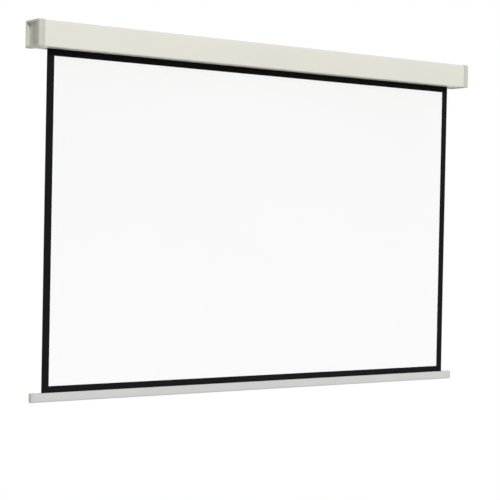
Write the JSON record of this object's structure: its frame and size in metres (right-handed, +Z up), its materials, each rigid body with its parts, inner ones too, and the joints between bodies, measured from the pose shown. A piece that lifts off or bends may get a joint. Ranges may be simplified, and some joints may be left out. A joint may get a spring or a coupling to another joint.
{
  "type": "pull-down projector screen",
  "caption": "Wall-hung spring-roller projector screen: steel case, white sheet with a thin black border and a rigid slat that pulls down.",
  "frame": {"origin": "on the wall's plane, at the middle of the case's length and height", "axes": "+X to the right along the case as a viewer faces the screen, -Y out of the wall towards the viewer, +Z up"},
  "size_m": [1.76, 0.0925, 1.153],
  "materials": {
    "case_paint": "cream powder coat, satin",
    "cap_plastic": "warm light grey moulded plastic, fine grain",
    "bracket_steel": "bright pressed steel",
    "plated_steel": "zinc plated",
    "spring_steel": "dark drawn spring wire",
    "roller_tube_metal": "drawn, plain",
    "nylon": "natural nylon",
    "sheet_white": "matt white projection sheet",
    "sheet_black": "matt black",
    "slat_paint": "light grey painted extrusion"
  },
  "bodies": {
    "case": {"case_front": "case_paint", "case_top_edge": "case_paint", "case_top": "case_paint", "case_back": "case_paint", "case_sill_front": "case_paint", "case_sill_rear": "case_paint", "end_cap_left": "cap_plastic", "bearing_bracket_left": "bracket_steel", "cap_screw_left_lower": "plated_steel", "cap_screw_left_upper": "plated_steel", "bracket_rivet_left_lower": "plated_steel", "bracket_rivet_left_upper": "plated_steel", "wall_bracket_left": "plated_steel", "bracket_screw_left_rear": "plated_steel", "bracket_screw_left_front": "plated_steel", "clinch_nut_left_rear": "plated_steel", "clinch_nut_left_front": "plated_steel", "end_cap_right": "cap_plastic", "bearing_bracket_right": "bracket_steel", "cap_screw_right_lower": "plated_steel", "cap_screw_right_upper": "plated_steel", "bracket_rivet_right_lower": "plated_steel", "bracket_rivet_right_upper": "plated_steel", "wall_bracket_right": "plated_steel", "bracket_screw_right_rear": "plated_steel", "bracket_screw_right_front": "plated_steel", "clinch_nut_right_rear": "plated_steel", "clinch_nut_right_front": "plated_steel", "spindle": "bracket_steel", "lock_disc": "bracket_steel", "lock_pin": "bracket_steel", "spring_anchor": "plated_steel", "anchor_pin": "bracket_steel", "torsion_spring": "spring_steel", "idle_bush": "nylon"},
    "roller": {"roller_tube": "roller_tube_metal", "spring_end_plug": "nylon", "idle_end_plug": "nylon", "idle_pin": "bracket_steel", "rod_guide": "nylon", "fixing_tape": "nylon", "fabric_wraps": "sheet_black", "pawl_a_pin": "plated_steel", "pawl_b_pin": "plated_steel"},
    "pawl_a": {"pawl_a": "bracket_steel"},
    "pawl_b": {"pawl_b": "bracket_steel"},
    "slat": {"bottom_slat": "slat_paint", "slat_cap_left": "cap_plastic", "slat_cap_right": "cap_plastic", "hem_rod": "nylon", "hem_sleeve": "sheet_black", "pull_grip": "cap_plastic", "grip_screw_left": "plated_steel", "grip_screw_right": "plated_steel", "screen_fabric": "sheet_white"}
  },
  "joints": [
    {"name": "screen_slide", "type": "slide", "parent": "case", "child": "slat", "axis": [0, 0, 1], "range_m": [0, 1.03802], "deforming": ["screen_fabric"]},
    {"name": "roller_turn", "type": "hinge", "parent": "case", "child": "roller", "pos_m": [0, -0.06103, 0.004], "axis": [1, 0, 0], "range_deg": [0, 2970.01]},
    {"name": "pawl_a_swing", "type": "hinge", "parent": "roller", "child": "pawl_a", "pos_m": [-0.85395, -0.06103, 0.0175], "axis": [1, 0, 0], "range_deg": [0, 26.01]},
    {"name": "pawl_b_swing", "type": "hinge", "parent": "roller", "child": "pawl_b", "pos_m": [-0.85395, -0.06103, -0.0095], "axis": [1, 0, 0], "range_deg": [0, 26.01]}
  ],
  "couplings": [
    {"joint": "roller_turn", "follows": "screen_slide", "rad_per_m": 49.938}
  ]
}
